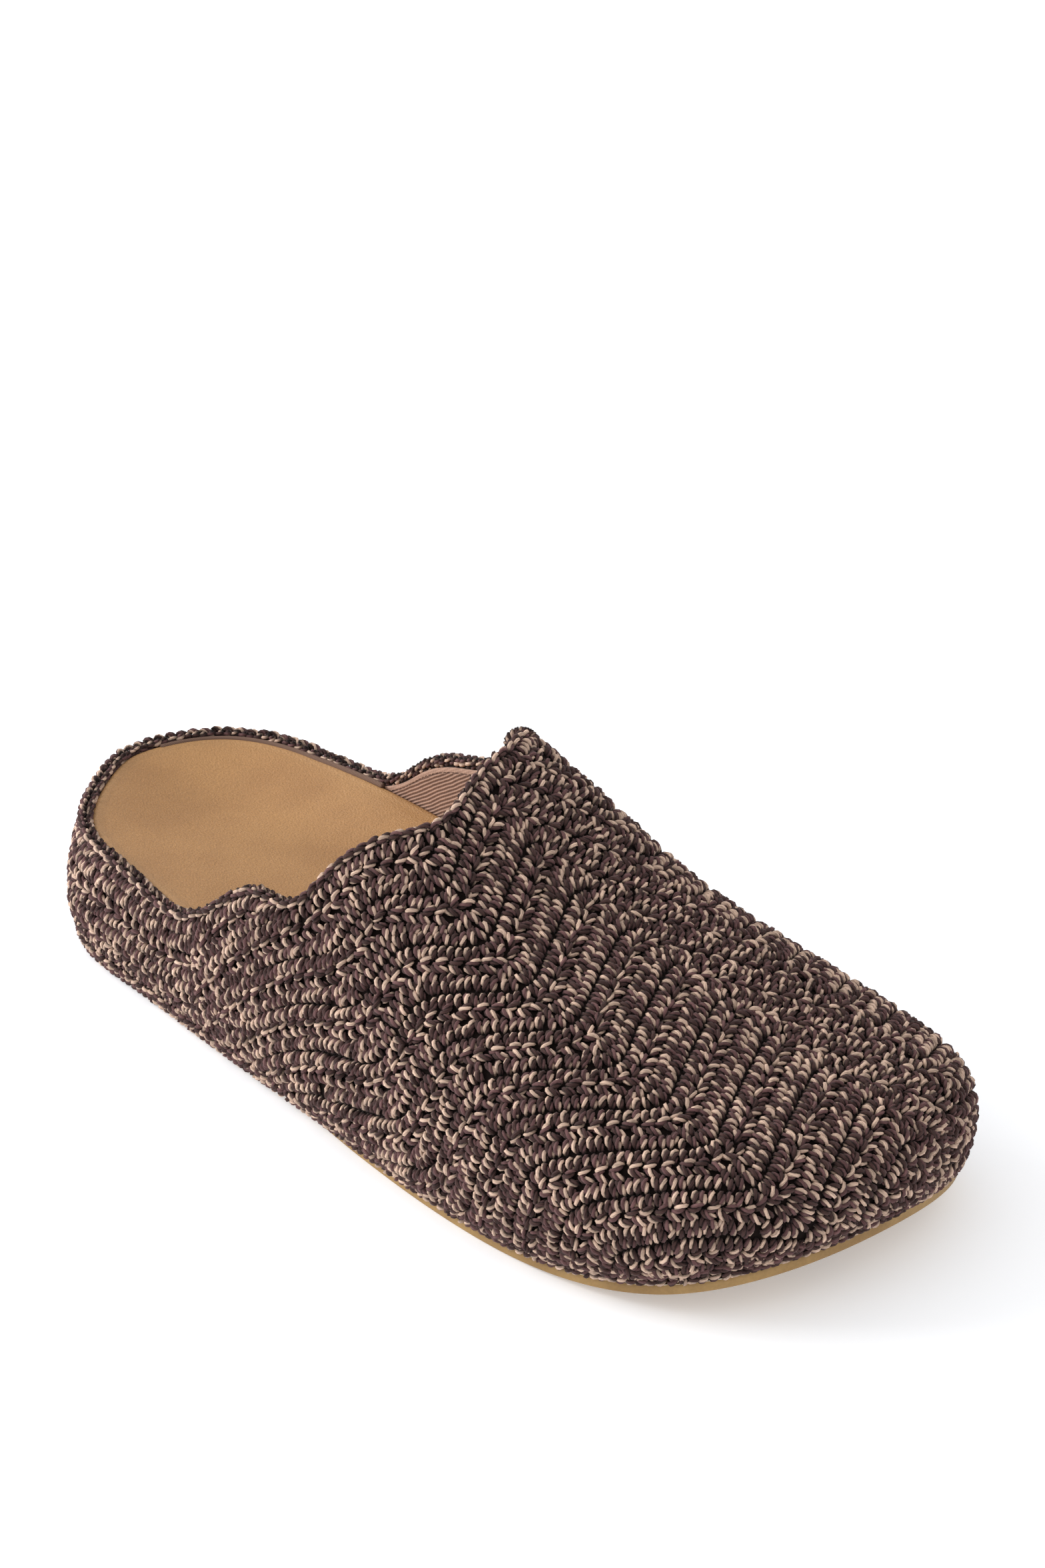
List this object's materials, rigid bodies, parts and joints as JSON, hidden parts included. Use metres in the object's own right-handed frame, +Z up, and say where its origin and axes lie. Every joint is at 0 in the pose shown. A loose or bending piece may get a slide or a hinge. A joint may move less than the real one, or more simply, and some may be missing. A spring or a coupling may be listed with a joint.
{
  "type": "crochet clog",
  "caption": "Right-foot slip-on clog with a hollow crochet upper, scalloped throat and open heel collar over a contoured leather-topped footbed and a thin gum rubber outsole.",
  "frame": {"origin": "on the floor under the middle of the shoe's box", "axes": "+X towards the toe, +Y towards the inner side of the foot, +Z up"},
  "size_m": [0.262, 0.1094, 0.0788],
  "materials": {
    "gum_rubber": "matt honey-brown gum",
    "tan_leather": "smooth fine-grained tan",
    "marled_yarn": "crochet in tan and dark brown marled cotton"
  },
  "bodies": {
    "root": {"outsole": "gum_rubber", "footbed": "tan_leather", "upper": "marled_yarn"}
  },
  "joints": []
}
